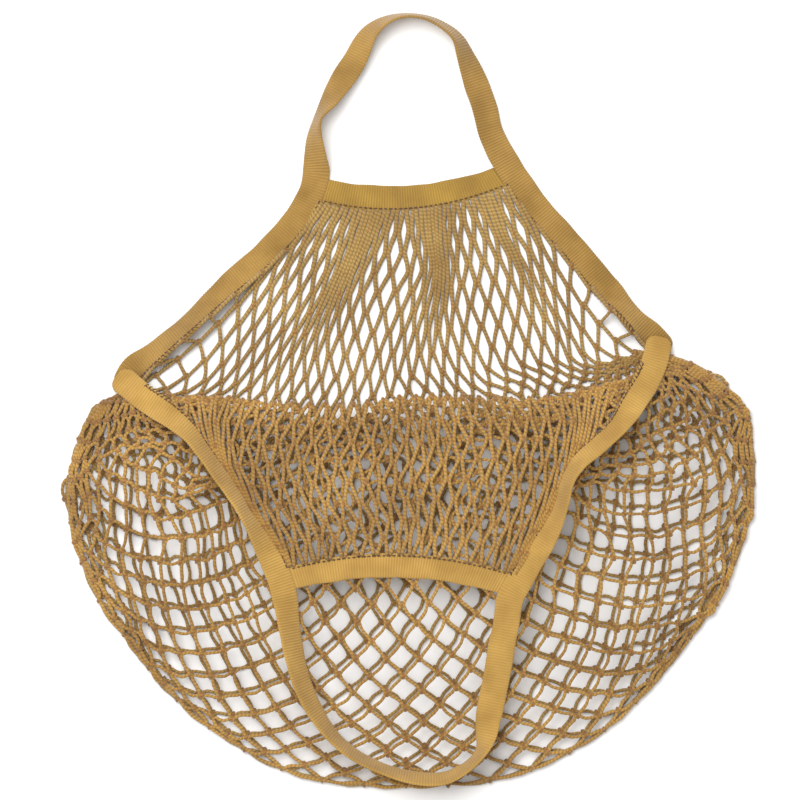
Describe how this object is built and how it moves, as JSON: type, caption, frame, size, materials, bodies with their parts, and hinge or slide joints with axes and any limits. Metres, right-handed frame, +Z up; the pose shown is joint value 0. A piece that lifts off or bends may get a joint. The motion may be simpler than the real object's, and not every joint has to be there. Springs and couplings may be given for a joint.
{
  "type": "string shopping bag",
  "caption": "Knitted cotton net shopping bag laid flat, its front panel turned down over the body, with rib-knit tape round the mouth that runs on into a short handle on each panel.",
  "frame": {"origin": "on the surface that the bag lies on, under the middle of its outline", "axes": "+X to the bag's right, +Y from the bottom of the net towards the crown of the back handle, +Z up from the surface"},
  "size_m": [0.4238, 0.4794, 0.0376],
  "materials": {
    "rib_tape": "matte rib knit, mustard cotton",
    "net_yarn": "matte twisted cotton yarn, mustard"
  },
  "bodies": {
    "root": {"back_tape": "rib_tape", "front_tape": "rib_tape", "back_band": "rib_tape", "front_band": "rib_tape", "back_net": "net_yarn", "front_net": "net_yarn"}
  },
  "joints": []
}
